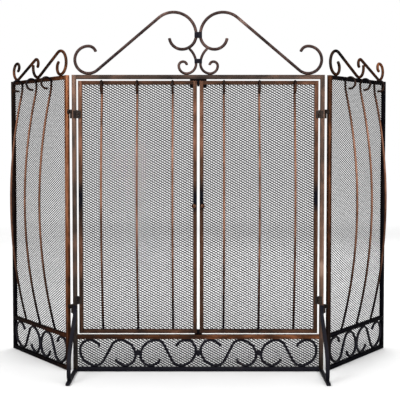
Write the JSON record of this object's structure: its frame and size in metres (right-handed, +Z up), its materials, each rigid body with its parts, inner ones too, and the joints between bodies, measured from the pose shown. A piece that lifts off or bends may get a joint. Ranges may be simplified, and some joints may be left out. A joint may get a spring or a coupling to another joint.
{
  "type": "folding fireplace screen",
  "caption": "Folding metal fireplace screen with hinged side panels, a pair of centre doors, bowed bars, wire mesh, scroll crest and curved feet.",
  "frame": {"origin": "on the floor under the middle of the centre panel, in the mid-plane of its bars", "axes": "+Z up, front faces -Y, +X to the viewer's right when facing the front"},
  "size_m": [1.09, 0.4138, 0.9464],
  "materials": {
    "bronze": "hand-burnished bronze over black",
    "copper": "hand-burnished copper over black",
    "black_iron": "satin black",
    "mesh": "grey wire cloth",
    "magnet": "dull black",
    "pin": "darkened steel"
  },
  "bodies": {
    "centre_panel": {"center_left_stile": "bronze", "center_right_stile": "bronze", "center_top_rail": "bronze", "center_mid_rail": "bronze", "center_bottom_rail": "bronze", "apron_mesh": "mesh", "apron_scroll_1": "black_iron", "apron_scroll_2": "black_iron", "apron_scroll_3": "black_iron", "apron_scroll_4": "black_iron", "apron_collars": "black_iron", "crest_scroll_left": "bronze", "crest_scroll_right": "bronze", "crest_curl_left": "bronze", "crest_curl_right": "bronze", "crest_upper_collar": "black_iron", "crest_lower_collar": "black_iron", "left_foot_brace": "black_iron", "right_foot_brace": "black_iron", "foot_bars": "black_iron", "catch_plate": "black_iron", "catch_magnets": "magnet", "door_stop": "black_iron", "door_hinge_frame_leaves": "black_iron", "door_hinge_pins": "pin", "panel_hinge_knuckles": "black_iron", "panel_hinge_pins": "pin"},
    "left_door": {"left_door_stiles": "bronze", "left_door_rails": "bronze", "left_door_mesh": "mesh", "left_door_bars": "copper", "left_door_knob": "copper", "left_door_hinge_leaves": "black_iron"},
    "right_door": {"right_door_stiles": "bronze", "right_door_rails": "bronze", "right_door_mesh": "mesh", "right_door_bars": "copper", "right_door_knob": "copper", "right_door_hinge_leaves": "black_iron"},
    "left_panel": {"left_panel_stiles": "bronze", "left_panel_rails": "bronze", "left_panel_mesh": "mesh", "left_panel_bars": "copper", "left_panel_scrolls": "black_iron", "left_panel_crest": "bronze", "left_panel_hinge_sleeves": "black_iron"},
    "right_panel": {"right_panel_stiles": "bronze", "right_panel_rails": "bronze", "right_panel_mesh": "mesh", "right_panel_bars": "copper", "right_panel_scrolls": "black_iron", "right_panel_crest": "bronze", "right_panel_hinge_sleeves": "black_iron"}
  },
  "joints": [
    {"name": "left_door_hinge", "type": "hinge", "parent": "centre_panel", "child": "left_door", "pos_m": [-0.31625, -0.007, 0.4], "axis": [0, 0, -1], "range_deg": [0, 90]},
    {"name": "right_door_hinge", "type": "hinge", "parent": "centre_panel", "child": "right_door", "pos_m": [0.31625, -0.007, 0.4], "axis": [0, 0, 1], "range_deg": [0, 90]},
    {"name": "left_panel_hinge", "type": "hinge", "parent": "centre_panel", "child": "left_panel", "pos_m": [-0.33375, 0.009, 0.4], "axis": [0, 0, -1], "range_deg": [-52.5, 127.5]},
    {"name": "right_panel_hinge", "type": "hinge", "parent": "centre_panel", "child": "right_panel", "pos_m": [0.33375, 0.009, 0.4], "axis": [0, 0, 1], "range_deg": [-52.5, 127.5]}
  ]
}
